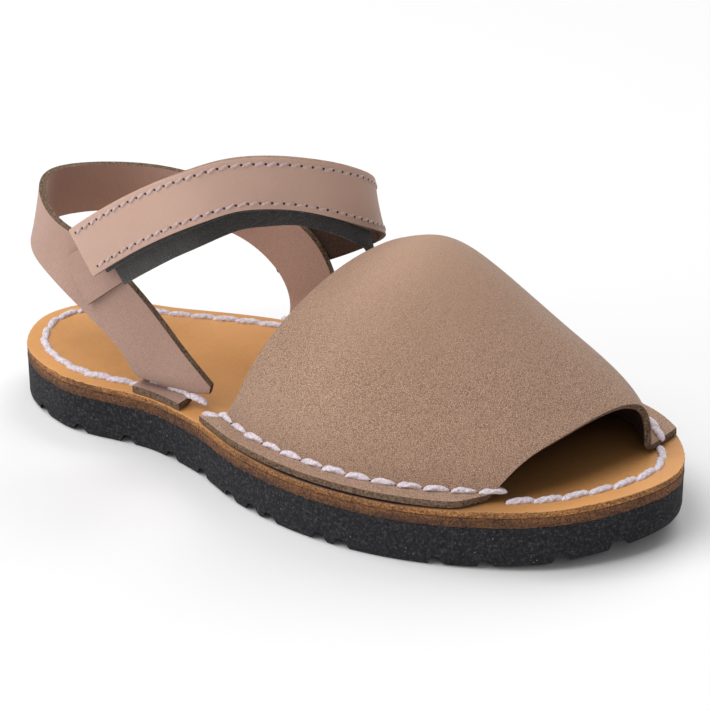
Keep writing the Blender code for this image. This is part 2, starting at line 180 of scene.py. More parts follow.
def ring_normals():
    """Unit normals of the outline, pointing inwards."""
    ahead = np.roll(RING, -3, axis=0) - np.roll(RING, 3, axis=0)
    normals = np.stack([-ahead[:, 1], ahead[:, 0]], axis=1)
    return normals / np.linalg.norm(normals, axis=1)[:, None]


INWARD = ring_normals()


def top_profile(name, pick):
    """Highest or lowest Z of a CAD sole node over X, as a table."""
    points = node_points(name)
    stations = np.unique(np.round(points[:, 0], 5))
    height = [pick(points[np.abs(points[:, 0] - x) < 0.00002, 2]) for x in stations]
    return stations, np.array(height)


INSOLE_TOP = top_profile("insole", np.max)
BASE_TOP = float(INSOLE_TOP[1].min())


def lift(x):
    """Toe spring at X."""
    return np.interp(x, *INSOLE_TOP) - BASE_TOP


def tread_lift(x):
    """Rise of the tread over the sole's own spring, where the rubber thins at the toe."""
    share = (x - RING[:, 0].min()) / LENGTH
    return TREAD_SPRING * np.clip((share - TREAD_SPRING_START) / (1 - TREAD_SPRING_START), 0, None) ** 2


def level_of(name, pick):
    """Height of a flat CAD level at the heel."""
    return float(pick(node_points(name)[:, 2]))


OUTSOLE_TOP = level_of("midsole", np.min) - GAP
MIDSOLE_TOP = level_of("insole", np.min) - GAP


def make_mesh(name, vertices, faces):
    """New object from vertices and faces, its faces pointing out."""
    mesh = bpy.data.meshes.new(name)
    mesh.from_pydata([tuple(v) for v in vertices], [], faces)
    work = bmesh.new()
    work.from_mesh(mesh)
    bmesh.ops.recalc_face_normals(work, faces=work.faces)
    work.to_mesh(mesh)
    work.free()
    item = bpy.data.objects.new(name, mesh)
    bpy.context.scene.collection.objects.link(item)
    return item


def smooth_shade(item, degrees=40.0):
    """Smooth shading with sharp edges over an angle."""
    item.data.shade_smooth()
    item.data.set_sharp_from_angle(angle=math.radians(degrees))
    return item


def layer(name, levels, rise=None):
    """Sole layer from levels of (inset, height), lowest first, with its caps as strips.

    rise gives the share of the tread's own lift at each level."""
    rises = rise or [0.0] * len(levels)
    count = len(RING)
    half = OUTLINE_STEPS
    vertices, faces = [], []
    for (inset, height), share in zip(levels, rises):
        points = RING + INWARD * inset
        z = height + lift(points[:, 0]) + share * tread_lift(points[:, 0])
        vertices += list(np.column_stack([points, z]))
    for low in range(len(levels) - 1):
        for k in range(count):
            following = (k + 1) % count
            faces.append((low * count + k, low * count + following,
                          (low + 1) * count + following, (low + 1) * count + k))
    for level in (0, len(levels) - 1):
        height = levels[level][1]
        first = level * count
        rows = []
        for k in range(half + 1):
            near = first + k
            far = first + (count - k) % count
            if near == far:
                rows.append([near])
                continue
            row = [near]
            for c in range(1, CAP_COLUMNS):
                share = c / CAP_COLUMNS
                point = np.array(vertices[near]) * (1 - share) + np.array(vertices[far]) * share
                point[2] = height + lift(point[0]) + rises[level] * tread_lift(point[0])
                row.append(len(vertices))
                vertices.append(point)
            rows.append(row + [far])
        for a, b in zip(rows, rows[1:]):
            if len(a) == 1:
                faces += [(a[0], b[c], b[c + 1]) for c in range(len(b) - 1)]
            elif len(b) == 1:
                faces += [(b[0], a[c], a[c + 1]) for c in range(len(a) - 1)]
            else:
                faces += [(a[c], a[c + 1], b[c + 1], b[c]) for c in range(len(a) - 1)]
    return make_mesh(name, vertices, faces)


def round_profile(low, high, corner, steps=4):
    """Levels of a wall from low to high with rounded corners."""
    turns = np.linspace(0.0, math.pi / 2, steps)
    levels = [(corner * (1 - math.sin(t)), low + corner * (1 - math.cos(t))) for t in turns]
    inner = np.linspace(low + corner, high - corner, 6)[1:-1]
    levels += [(0.0, z) for z in inner]
    levels += [(corner * (1 - math.cos(t)), high - corner * (1 - math.sin(t))) for t in turns]
    return levels


def branch_y(x, branch):
    """Y of one branch of the outline at X."""
    order = np.argsort(branch[:, 0])
    return float(np.interp(x, branch[order, 0], branch[order, 1]))


def groove_bars():
    """All grooves of the tread as flared bars with rounded roofs."""
    vertices, faces = [], []
    low, high = RING[:, 0].min(), RING[:, 0].max()
    reach = float(np.ptp(RING[:, 1])) / 2 + GROOVE_WIDTH
    for side, places in GROOVES:
        for share in places:
            x = low + (high - low) * share
            middle = (branch_y(x, LATERAL) + branch_y(x, MEDIAL)) / 2
            ends = [middle + RIB_HALF_WIDTH * side, middle + reach * side]
            if side == 0:
                ends = [middle - SIPE_HALF_LENGTH, middle + SIPE_HALF_LENGTH]
            floor = float(lift(x) + tread_lift(x))
            slant = math.tan(GROOVE_SKEW) * (side if side else 1)
            half = GROOVE_WIDTH / 2
            section = [(-half - GROOVE_FLARE, -GROOVE_DEPTH), (-half, GROOVE_DEPTH * 0.35),
                       (-half * 0.75, GROOVE_DEPTH * 0.85), (-half * 0.4, GROOVE_DEPTH),
                       (half * 0.3, GROOVE_DEPTH), (half * 0.7, GROOVE_DEPTH * 0.8),
                       (half, GROOVE_DEPTH * 0.2), (half + GROOVE_FLARE, -GROOVE_DEPTH)]
            first = len(vertices)
            for y in sorted(ends):
                shift = (y - ends[0]) * slant
                vertices += [(x + shift + dx, y, floor + dz) for dx, dz in section]
            n = len(section)
            faces += [tuple(first + k for k in range(n)), tuple(first + n + k for k in range(n))]
            faces += [(first + k, first + (k + 1) % n, first + n + (k + 1) % n, first + n + k)
                      for k in range(n)]
    return make_mesh("groove_bars", vertices, faces)


def apply_modifiers(item):
    """Turn an object's modifiers into its mesh."""
    graph = bpy.context.evaluated_depsgraph_get()
    mesh = bpy.data.meshes.new_from_object(item.evaluated_get(graph))
    item.modifiers.clear()
    item.data = mesh
    return item


def fray(item, amount, scale, seed, where=None):
    """Small random roughness of a surface, along its normals."""
    mesh = item.data
    for vertex in mesh.vertices:
        share = 1.0 if where is None else where(vertex)
        if share:
            offset = vertex.co * scale + Vector((seed, seed * 0.7, -seed))
            vertex.co += vertex.normal * (noise.noise(offset) * amount * share)
    mesh.update()


def build_sole():
    """Rubber sole with its tread, board and footbed."""
    levels = [(TREAD_BEVEL * 0.42, 0.0), (TREAD_BEVEL * 0.12, TREAD_BEVEL * 0.45),
              (0.0, TREAD_BEVEL)]
    levels += [(0.0, z) for z in np.linspace(TREAD_BEVEL, OUTSOLE_TOP + OVERLAP, 8)[1:]]
    rise = [1.0, 1.0] + list(np.linspace(1.0, 0.0, 8))
    outsole = layer("rubber_sole", levels, rise)
    bars = groove_bars()
    cut = outsole.modifiers.new("grooves", "BOOLEAN")
    cut.operation = "DIFFERENCE"
    cut.solver = "EXACT"
    cut.object = bars
    apply_modifiers(outsole)
    bpy.data.objects.remove(bars)
    smooth_shade(outsole, 35)

    board = layer("board", round_profile(OUTSOLE_TOP + OVERLAP, MIDSOLE_TOP + GAP, 0.15 * MM))
    fray(board, 0.16 * MM, 900.0, 3.0)
    smooth_shade(board, 60)

    footbed = layer("footbed", round_profile(MIDSOLE_TOP + GAP, BASE_TOP, 0.3 * MM))
    fray(footbed, 0.10 * MM, 900.0, 5.0, lambda v: 1.0 if abs(v.normal.z) < 0.6 else 0.0)
    smooth_shade(footbed, 60)
    return outsole, board, footbed


def sheet_copy(node, name):
    """Smooth copy of a CAD sheet: quads, rounded cut edges and fine subdivision.

    Its faces get slot 0 on the outer face, 1 on the inner face and 2 on the cut edges."""
    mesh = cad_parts[node].data.copy()
    mesh.materials.clear()
    for _ in range(3):
        mesh.materials.append(None)
    work = bmesh.new()
    work.from_mesh(mesh)
    bmesh.ops.remove_doubles(work, verts=work.verts, dist=1e-6)
    bmesh.ops.join_triangles(work, faces=work.faces, angle_face_threshold=math.radians(40),
                             angle_shape_threshold=math.radians(60))
    work.faces.ensure_lookup_table()
    island = {}
    areas = []
    for start in work.faces:
        if start in island:
            continue
        number = len(areas)
        areas.append(0.0)
        stack = [start]
        island[start] = number
        while stack:
            face = stack.pop()
            areas[number] += face.calc_area()
            for edge in face.edges:
                if len(edge.link_faces) == 2 and edge.calc_face_angle(0.0) < math.radians(50):
                    for other in edge.link_faces:
                        if other not in island:
                            island[other] = number
                            stack.append(other)
    order = sorted(range(len(areas)), key=lambda n: -areas[n])
    slots = {order[0]: 0, order[1]: 1}
    for number in order[2:]:
        faces = [face for face in work.faces if island[face] == number]
        flat = sum(face.normal.z * face.calc_area() for face in faces) > 0.7 * areas[number]
        low = max(face.calc_center_median().z for face in faces) < FLANGE_LEVEL
        if flat and low:
            slots[number] = 0
    for face, number in island.items():
        face.material_index = slots.get(number, 2)
        face.smooth = True
    work.to_mesh(mesh)
    work.free()
    item = bpy.data.objects.new(name, mesh)
    bpy.context.scene.collection.objects.link(item)
    bevel = item.modifiers.new("round", "BEVEL")
    bevel.limit_method = "ANGLE"
    bevel.angle_limit = math.radians(50)
    bevel.width = EDGE_ROUND
    bevel.segments = 2
    fine = item.modifiers.new("fine", "SUBSURF")
    fine.levels = SHEET_SUBDIVISION
    fine.render_levels = SHEET_SUBDIVISION
    apply_modifiers(item)
    item.data.shade_smooth()
    return item


def seam_path():
    """Closed path of the sole seam: points and their running lengths, from the heel."""
    share = np.clip((RING[:, 0] / LENGTH + 0.5 - SEAM_TOE_START) / SEAM_TOE_SPAN, 0.0, 1.0)
    inset = SEAM_INSET + (SEAM_TOE_INSET - SEAM_INSET) * share
    points = RING + INWARD * inset[:, None]
    knots = lengths(np.vstack([points, points[:1]]))
    return points, knots


def rope_share(x, y):
    """How rope-like the seam is: plump stitches beside the vamp, a rope on the bare footbed."""
    along = x / LENGTH + 0.5
    lateral = 1.0 if y < 0 else 0.0
    front = min(max((along - ROPE_FRONT) / ROPE_FADE, 0.0), 1.0)
    rear = min(max((ROPE_REAR - along) / ROPE_FADE, 0.0), 1.0)
    return max(front, rear, 1.0 - lateral)


def surface_height(tree, x, y):
    """Height of the first surface under a point, at most one leather above the footbed."""
    hit = tree.ray_cast(Vector((x, y, SEAM_RAY_TOP)), Vector((0, 0, -1)))
    found = hit[0].z if hit[0] else BASE_TOP
    return min(found, BASE_TOP + lift(x) + SEAM_REACH)


def stitch_points(length, width, height, twist, seed, rings=22, sides=14, ends=1.0):
    """Vertices and faces of one plump stitch along X, its ends drawn in and sunk a little."""
    vertices, faces = [], []
    for i in range(rings + 1):
        t = -1 + 2 * i / rings
        swell = 1 - ends * (1 - max(1 - abs(t) ** 2.6, 0.0) ** 0.62)
        swell *= max(1 - abs(t) ** 14, 0.0) ** 0.5
        for j in range(sides):
            turn = 2 * math.pi * j / sides
            ply = 1 + 0.10 * math.cos(3 * turn + twist * t * math.pi + seed)
            ply += 0.05 * math.cos(7 * turn - 5.1 * twist * t + 2.3 * seed)
            y = math.cos(turn) * width / 2 * swell * ply
            z = math.sin(turn) * height / 2 * swell * ply
            vertices.append((t * length / 2, y, z - height * 0.30 * abs(t) ** 3))
    for i in range(rings):
        for j in range(sides):
            k = (j + 1) % sides
            faces.append((i * sides + j, i * sides + k, (i + 1) * sides + k, (i + 1) * sides + j))
    faces.append(tuple(range(sides)))
    faces.append(tuple(rings * sides + j for j in range(sides)))
    return np.array(vertices), faces


def thread_place(seed):
    """Small steady random value for one stitch."""
    return noise.noise(Vector((seed * 1.37 + 0.5, seed * 0.71, 4.2)))


def build_sole_seam(flange_tree):
    """Thick white stitches all round the sole."""
    points, knots = seam_path()
    total = knots[-1]
    count = int(round(total / SEAM_PITCH))
    pitch = total / count
    loop = np.vstack([points, points[:1]])
    inward = np.vstack([INWARD, INWARD[:1]])
    vertices, faces = [], []
    holes, hole_faces = [], []
    for n in range(count):
        centre = (n + 0.5) * pitch
        base_x = np.interp(centre, knots, loop[:, 0])
        base_y = np.interp(centre, knots, loop[:, 1])
        rope = rope_share(base_x, base_y)
        rough = thread_place(n)
        length = SEAM_LENGTH + (ROPE_LENGTH - SEAM_LENGTH) * rope
        width = SEAM_WIDTH + (ROPE_WIDTH - SEAM_WIDTH) * rope
        size = np.array([length, width, SEAM_HEIGHT]) * (1 + 0.16 * rough)
        local, quads = stitch_points(*size, twist=1.4 + 2.2 * rope, seed=n * 1.9, ends=1.0 - 0.6 * rope)
        along = np.mod(centre + local[:, 0], total)
        x = np.interp(along, knots, loop[:, 0])
        y = np.interp(along, knots, loop[:, 1])
        nx = np.interp(along, knots, inward[:, 0])
        ny = np.interp(along, knots, inward[:, 1])
        height = surface_height(flange_tree, base_x, base_y)
        slope = lift(x) - lift(base_x)
        tilt = (0.34 + 0.2 * rough) * SEAM_WIDTH * local[:, 0] / length
        bow = 0.20 * SEAM_WIDTH * (1 - rope) * (1 - (2 * local[:, 0] / length) ** 2)
        across = local[:, 1] + tilt + bow
        first = len(vertices)
        z = height + slope + local[:, 2] + SEAM_HEIGHT * 0.16
        vertices += list(np.column_stack([x + nx * across, y + ny * across, z]))
        faces += [tuple(first + k for k in quad) for quad in quads]
        # Dark disc over the awl hole between stitches: painted shade of the hole.
        edge = np.mod(n * pitch, total)
        spot = [np.interp(edge, knots, loop[:, c]) for c in (0, 1)]
        top = surface_height(flange_tree, *spot)
        first = len(holes)
        ring = [2 * math.pi * k / 10 for k in range(10)]
        holes.append((spot[0], spot[1], top + 0.00006))
        holes += [(spot[0] + SEAM_HOLE * math.cos(t), spot[1] + SEAM_HOLE * math.sin(t), top + 0.00003)
                  for t in ring]
        hole_faces += [(first, first + 1 + k, first + 1 + (k + 1) % 10) for k in range(10)]
    thread_holes = make_mesh("sole_holes", holes, hole_faces)
    return smooth_shade(make_mesh("sole_thread", vertices, faces), 70), thread_holes


def outer_face(item):
    """Points and normals of the outer face of a strap copy, which has slot 0."""
    mesh = item.data
    points = np.array([v.co for v in mesh.vertices])
    normals = np.array([v.normal for v in mesh.vertices])
    used = sorted({v for face in mesh.polygons if face.material_index == 0 for v in face.vertices})
    return points[used], normals[used]


def build_strap_seams(strap):
    """Two rows of fine slanted stitches on the ankle strap, with small dark discs painted as the shade
    of the needle holes.
    """
    points, normals = outer_face(strap)
    low_edge, high_edge = strap_edges(strap)
    vertices, faces, holes, hole_faces = [], [], [], []
    width = np.linalg.norm(high_edge - low_edge, axis=1).mean()
    for inset_share in (STRAP_SEAM_INSET / width, 1 - STRAP_SEAM_INSET / width):
        line = low_edge * (1 - inset_share) + high_edge * inset_share
        knots = lengths(line)
        count = int(knots[-1] / STRAP_SEAM_PITCH)
        for n in range(1, count):
            at = n * STRAP_SEAM_PITCH
            spot = hermite(knots, line, np.array([at - 0.0005, at, at + 0.0005]))
            along = spot[2] - spot[0]
            along /= np.linalg.norm(along)
            near = np.argmin(((points - spot[1]) ** 2).sum(axis=1))
            out = normals[near]
            upward = np.cross(out, along)
            base = spot[1] + out * float(np.dot(points[near] - spot[1], out))
            rough = thread_place(n + inset_share * 50)
            local, quads = stitch_points(*(np.array(STRAP_STITCH) * (1 + 0.15 * rough)), twist=1.0,
                                         seed=n * 2.3, rings=10, sides=8)
            slant = STRAP_STITCH_SLANT * 2 * local[:, 0] / STRAP_STITCH[0]
            first = len(vertices)
            vertices += list(base + along * local[:, :1] + upward * (local[:, 1] + slant)[:, None]
                             + out * (local[:, 2] + 0.00004)[:, None])
            faces += [tuple(first + k for k in quad) for quad in quads]
            # Dark disc over each needle hole: painted shade of the hole.
            hole = base + along * STRAP_SEAM_PITCH / 2 + out * 0.00003
            first = len(holes)
            holes.append(hole)
            for k in range(8):
                turn = 2 * math.pi * k / 8
                holes.append(hole + (along * math.cos(turn) + upward * math.sin(turn)) * STRAP_HOLE)
            hole_faces += [(first, first + 1 + k, first + 1 + (k + 1) % 8) for k in range(8)]
    thread = smooth_shade(make_mesh("strap_thread", vertices, faces), 70)
    dress(thread, [], [cotton("strap_cotton", (0.62, 0.45, 0.41), (0.34, 0.23, 0.20))])
    pits = make_mesh("strap_holes", holes, hole_faces)
    # Near black colour of the needle hole discs: painted shade.
    dress(pits, [], [raw_edge("needle_hole_painted_shade", (0.10, 0.06, 0.05), (0.03, 0.02, 0.015),
                                    (0.07, 0.04, 0.03))])


def strap_edges(item):
    """Lower and upper border of a strap's outer face, as matching rows of points."""
    mesh = item.data
    count = {}
    for face in mesh.polygons:
        if face.material_index == 0:
            for edge in face.edge_keys:
                count[edge] = count.get(edge, 0) + 1
    border = {}
    for (a, b), uses in count.items():
        if uses == 1:
            border.setdefault(a, []).append(b)
            border.setdefault(b, []).append(a)
    start = next(iter(border))
    loop, previous = [start], None
    while True:
        following = [v for v in border[loop[-1]] if v != previous]
        previous = loop[-1]
        if not following or following[0] == start:
            break
        loop.append(following[0])
    points = np.array([mesh.vertices[v].co for v in loop])
    ahead = np.roll(points, -CORNER_REACH, axis=0) - points
    behind = points - np.roll(points, CORNER_REACH, axis=0)
    reach = np.linalg.norm(ahead, axis=1) * np.linalg.norm(behind, axis=1)
    turn = 1 - (ahead * behind).sum(axis=1) / reach
    corners = []
    for k in np.argsort(-turn):
        if all(min(abs(k - c), len(loop) - abs(k - c)) > CORNER_SPACING for c in corners):
            corners.append(int(k))
        if len(corners) == 4:
            break
    corners.sort()
    sides = []
    for a, b in zip(corners, corners[1:] + [corners[0] + len(loop)]):
        sides.append(points[np.arange(a, b + 1) % len(loop)])
    sides.sort(key=lambda side: -lengths(side)[-1])
    rows = []
    for side in sides[:2]:
        knots = lengths(side)
        row = hermite(knots, side, np.linspace(0, knots[-1], STRAP_SAMPLES))
        rows.append(row if row[0][1] > row[-1][1] else row[::-1])
    rows.sort(key=lambda row: row[:, 2].mean())
    return rows


# Materials


def shader_tree(name):
    """New material and helpers to wire it."""
    material = bpy.data.materials.new(name)
    material.use_nodes = True
    tree = material.node_tree
    return material, tree, tree.nodes["Principled BSDF"]


def node(tree, kind, **settings):
    """New shader node with some of its settings and inputs."""
    item = tree.nodes.new(kind)
    for key, value in settings.items():
        if key in item.inputs:
            item.inputs[key].default_value = value
        else:
            setattr(item, key, value)
    return item


def object_noise(tree, scale, detail=4.0, rough=0.6, stretch=(1, 1, 1)):
    """Noise in the shoe's own metres."""
    place = node(tree, "ShaderNodeTexCoord")
    mapping = node(tree, "ShaderNodeMapping")
    mapping.inputs["Scale"].default_value = stretch
    tree.links.new(place.outputs["Object"], mapping.inputs["Vector"])
    pattern = node(tree, "ShaderNodeTexNoise", Scale=scale, Detail=detail, Roughness=rough)
    tree.links.new(mapping.outputs["Vector"], pattern.inputs["Vector"])
    return pattern.outputs["Fac"]


def ramp(tree, source, stops):
    """Colour ramp over a value."""
    item = node(tree, "ShaderNodeValToRGB")
    elements = item.color_ramp.elements
    while len(elements) < len(stops):
        elements.new(0.5)
    for element, (place, colour) in zip(elements, stops):
        element.position = place
        element.color = (*colour, 1.0)
    tree.links.new(source, item.inputs["Fac"])
    return item.outputs["Color"]


def mix(tree, factor, first, second):
    """Mix two colours; each of factor, first and second is a socket or a value."""
    item = node(tree, "ShaderNodeMix", data_type="RGBA")
    for value, socket in ((factor, item.inputs[0]), (first, item.inputs[6]), (second, item.inputs[7])):
        if hasattr(value, "links"):
            tree.links.new(value, socket)
        elif isinstance(value, tuple):
            socket.default_value = (*value, 1.0)
        else:
            socket.default_value = value
    return item.outputs[2]


def map_range(tree, source, low, high, new_low=0.0, new_high=1.0):
    """Clamped linear map of a value."""
    item = node(tree, "ShaderNodeMapRange")
    for socket, value in zip(("From Min", "From Max", "To Min", "To Max"),
                             (low, high, new_low, new_high)):
        item.inputs[socket].default_value = value
    tree.links.new(source, item.inputs["Value"])
    return item.outputs["Result"]


def bump(tree, shader, layers):
    """Stack bumps: each layer is (height socket, strength, distance in metres)."""
    normal = None
    for height, strength, distance in layers:
        item = node(tree, "ShaderNodeBump", Strength=strength, Distance=distance)
        tree.links.new(height, item.inputs["Height"])
        if normal:
            tree.links.new(normal, item.inputs["Normal"])
        normal = item.outputs["Normal"]
    tree.links.new(normal, shader.inputs["Normal"])


def split_place(tree):
    """Node with the X, Y and Z of the point in metres."""
    place = node(tree, "ShaderNodeTexCoord")
    split = node(tree, "ShaderNodeSeparateXYZ")
    tree.links.new(place.outputs["Object"], split.inputs["Vector"])
    return split


def cells(tree, scale, **settings):
    """Distance of a cell pattern in the shoe's own metres."""
    place = node(tree, "ShaderNodeTexCoord")
    pattern = node(tree, "ShaderNodeTexVoronoi", Scale=scale, **settings)
    tree.links.new(place.outputs["Object"], pattern.inputs["Vector"])
    return pattern.outputs["Distance"]


def height_over_floor(tree):
    """Z of the point in metres."""
    return split_place(tree).outputs["Z"]


def scaled(colour, factor):
    """Colour times a factor, at most white."""
    return tuple(min(c * factor, 1.0) for c in colour)


def nubuck(name, light, dark, warm, grain=1.0):
    """Pebbled nubuck: soft colour clouds under fine grains, rubbed smoother towards the top."""
    material, tree, shader = shader_tree(name)
    clouds = object_noise(tree, 38.0, 3.0, 0.55)
    patches = object_noise(tree, 14.0, 2.0, 0.5)
    speckle = object_noise(tree, 2300.0, 2.0, 0.7)
    pebbles = cells(tree, 2900.0, feature="DISTANCE_TO_EDGE")
    kept = map_range(tree, height_over_floor(tree), NAP_TOP, NAP_FULL, 0.25, 1.0)
    colour = ramp(tree, clouds, [(0.30, dark), (0.70, light)])
    colour = mix(tree, map_range(tree, patches, 0.40, 0.70, 0.0, 0.6), colour, warm)
    domes = map_range(tree, pebbles, 0.08, 0.38, 0.0, 0.60 * grain)
    pits = map_range(tree, pebbles, 0.16, 0.0, 0.0, 0.70 * grain)
    dots = map_range(tree, speckle, 0.52, 0.34, 0.0, 0.35 * grain)
    grained = mix(tree, domes, colour, scaled(light, 1.9))
    grained = mix(tree, pits, grained, scaled(dark, 0.35))
    grained = mix(tree, dots, grained, scaled(dark, 0.42))
    colour = mix(tree, kept, colour, grained)
    tree.links.new(colour, shader.inputs["Base Color"])
    shader.inputs["Roughness"].default_value = 0.80
    shader.inputs["Sheen Weight"].default_value = 0.15
    shader.inputs["Sheen Roughness"].default_value = 0.5
    shader.inputs["Specular IOR Level"].default_value = 0.2
    bump(tree, shader, [(clouds, 0.15, 0.0015), (pebbles, 0.6 * grain, 0.0003),
                        (speckle, 0.5 * grain, 0.0003)])
    return material


def raw_edge(name, light, dark, warm):
    """Cut or sanded edge of leather, with fibres and dark grains."""
    material, tree, shader = shader_tree(name)
    grains = object_noise(tree, 1900.0, 4.0, 0.75)
    bands = object_noise(tree, 420.0, 4.0, 0.6)
    colour = ramp(tree, grains, [(0.36, dark), (0.62, light)])
    colour = mix(tree, map_range(tree, bands, 0.42, 0.68, 0.0, 0.5), colour, warm)
    tree.links.new(colour, shader.inputs["Base Color"])
    shader.inputs["Roughness"].default_value = 0.9
    shader.inputs["Specular IOR Level"].default_value = 0.2
    bump(tree, shader, [(bands, 0.6, 0.0005), (grains, 0.9, 0.0004)])
    return material


def sole_edge(name, low, high, base, top):
    """Granular leather edge that runs from a dark base colour to an orange top colour."""
    material, tree, shader = shader_tree(name)
    grains = object_noise(tree, 2000.0, 4.0, 0.8)
    coarse = object_noise(tree, 260.0, 4.0, 0.65)
    streaks = object_noise(tree, 55.0, 3.0, 0.6, (1, 1, 6))
    level = map_range(tree, height_over_floor(tree), low, high)
    blended = mix(tree, level, base, top)
    blended = mix(tree, map_range(tree, streaks, 0.38, 0.66, 0.0, 0.75), blended, scaled(base, 0.42))
    blended = mix(tree, map_range(tree, coarse, 0.45, 0.7, 0.0, 0.6), blended, top)
    colour = mix(tree, map_range(tree, grains, 0.40, 0.56, 0.9, 0.0), blended, scaled(base, 0.25))
    colour = mix(tree, map_range(tree, grains, 0.56, 0.70, 0.0, 0.6), colour, scaled(top, 1.35))
    tree.links.new(colour, shader.inputs["Base Color"])
    shader.inputs["Roughness"].default_value = 0.75
    bump(tree, shader, [(coarse, 0.5, 0.0008), (grains, 1.0, 0.0005)])
    return material


def painted_shade_under_vamp(tree):
    """Weight of the painted shade on the footbed under the vamp, fading out towards the bare toe."""
    split = split_place(tree)
    slant = node(tree, "ShaderNodeMath", operation="MULTIPLY_ADD")
    tree.links.new(split.outputs["Y"], slant.inputs[0])
    slant.inputs[1].default_value = PAINTED_SHADE_SLANT
    tree.links.new(split.outputs["X"], slant.inputs[2])
    front = map_range(tree, slant.outputs[0], *PAINTED_SHADE_FRONT, 1.0, 0.0)
    rear = map_range(tree, split.outputs["X"], *PAINTED_SHADE_REAR)
    both = node(tree, "ShaderNodeMath", operation="MULTIPLY")
    tree.links.new(front, both.inputs[0])
    tree.links.new(rear, both.inputs[1])
    return both.outputs[0]


def footbed_leather():
    """Tan waxed leather, with shade painted nearly black into its colour under the vamp."""
    material, tree, shader = shader_tree("footbed_tan")
    clouds = object_noise(tree, 30.0, 4.0, 0.6)
    fine = object_noise(tree, 900.0, 3.0, 0.6)
    colour = ramp(tree, clouds, [(0.3, (0.52, 0.230, 0.066)), (0.7, (0.66, 0.320, 0.105))])
    colour = mix(tree, map_range(tree, fine, 0.55, 0.75, 0.0, 0.25), colour, (0.30, 0.13, 0.04))
    # Painted shade: the footbed colour turns near black under the vamp.
    colour = mix(tree, painted_shade_under_vamp(tree), colour, (0.050, 0.016, 0.006))
    tree.links.new(colour, shader.inputs["Base Color"])
    shader.inputs["Roughness"].default_value = 0.5
    shader.inputs["Coat Weight"].default_value = 0.08
    shader.inputs["Coat Roughness"].default_value = 0.4
    bump(tree, shader, [(clouds, 0.1, 0.002), (fine, 0.2, 0.0002)])
    return material


def rubber():
    """Charcoal rubber with tiny light specks."""
    material, tree, shader = shader_tree("charcoal_rubber")
    clouds = object_noise(tree, 60.0, 4.0, 0.6)
    fine = object_noise(tree, 1400.0, 4.0, 0.75)
    specks = cells(tree, 900.0)
    colour = ramp(tree, clouds, [(0.3, (0.013, 0.013, 0.015)), (0.7, (0.021, 0.021, 0.024))])
    colour = mix(tree, map_range(tree, fine, 0.50, 0.36, 0.0, 0.85), colour, (0.003, 0.003, 0.004))
    colour = mix(tree, map_range(tree, fine, 0.52, 0.66, 0.0, 0.80), colour, (0.072, 0.073, 0.080))
    dots = map_range(tree, specks, 0.08, 0.14, 1.0, 0.0)
    rare = map_range(tree, object_noise(tree, 330.0, 2.0, 0.5), 0.54, 0.62)
    both = node(tree, "ShaderNodeMath", operation="MULTIPLY")
    tree.links.new(dots, both.inputs[0])
    tree.links.new(rare, both.inputs[1])
    colour = mix(tree, both.outputs[0], colour, (0.34, 0.34, 0.36))
    tree.links.new(colour, shader.inputs["Base Color"])
    shader.inputs["Roughness"].default_value = 0.78
    shader.inputs["Specular IOR Level"].default_value = 0.25
    bump(tree, shader, [(clouds, 0.2, 0.001), (fine, 1.0, 0.0005)])
    return material


def cotton(name, light, dark):
    """Waxed cotton thread with fibres."""
    material, tree, shader = shader_tree(name)
    fibres = object_noise(tree, 1700.0, 4.0, 0.75)
    clouds = object_noise(tree, 160.0, 3.0, 0.6)
    colour = ramp(tree, fibres, [(0.30, dark), (0.58, light)])
    colour = mix(tree, map_range(tree, clouds, 0.45, 0.7, 0.0, 0.35), colour, (0.62, 0.50, 0.62))
    tree.links.new(colour, shader.inputs["Base Color"])
    shader.inputs["Roughness"].default_value = 0.8
    shader.inputs["Sheen Weight"].default_value = 0.3
    shader.inputs["Sheen Roughness"].default_value = 0.4
    shader.inputs["Subsurface Weight"].default_value = 0.15
    shader.inputs["Subsurface Radius"].default_value = (0.001, 0.001, 0.001)
    shader.inputs["Subsurface Scale"].default_value = 0.5
    bump(tree, shader, [(fibres, 0.8, 0.0004)])
    return material


def fuzzy_tape():
    """Black hook-and-loop tape."""
    material, tree, shader = shader_tree("black_fuzz")
    fuzz = object_noise(tree, 2200.0, 4.0, 0.8)
    clouds = object_noise(tree, 300.0, 3.0, 0.6)
    colour = ramp(tree, fuzz, [(0.35, (0.005, 0.004, 0.004)), (0.72, (0.050, 0.042, 0.036))])
    colour = mix(tree, map_range(tree, clouds, 0.45, 0.7, 0.0, 0.4), colour, (0.035, 0.024, 0.018))
    tree.links.new(colour, shader.inputs["Base Color"])
    shader.inputs["Roughness"].default_value = 0.95
    shader.inputs["Sheen Weight"].default_value = 0.4
    bump(tree, shader, [(clouds, 0.6, 0.0006), (fuzz, 1.0, 0.0006)])
    return material


def stage_floor():
    """Pale studio floor."""
    material, tree, shader = shader_tree("studio_floor")
    shader.inputs["Base Color"].default_value = (0.82, 0.82, 0.825, 1.0)
    shader.inputs["Roughness"].default_value = 0.6
    shader.inputs["Specular IOR Level"].default_value = 0.2
    size = 6.0
    corners = [(-size, -size, 0), (size, -size, 0), (size, size, 0), (-size, size, 0)]
    floor = make_mesh("floor", corners, [(0, 1, 2, 3)])
    floor.data.materials.append(material)


def area_light(name, place, size, power):
    """Soft box that looks at the middle of the shoe."""
    data = bpy.data.lights.new(name, "AREA")
    data.shape = "DISK"
    data.size = size
    data.energy = power
    item = bpy.data.objects.new(name, data)
    item.location = place
    aim = Vector(LIGHT_TARGET) - Vector(place)
    item.rotation_euler = aim.to_track_quat("-Z", "Y").to_euler()
    bpy.context.scene.collection.objects.link(item)


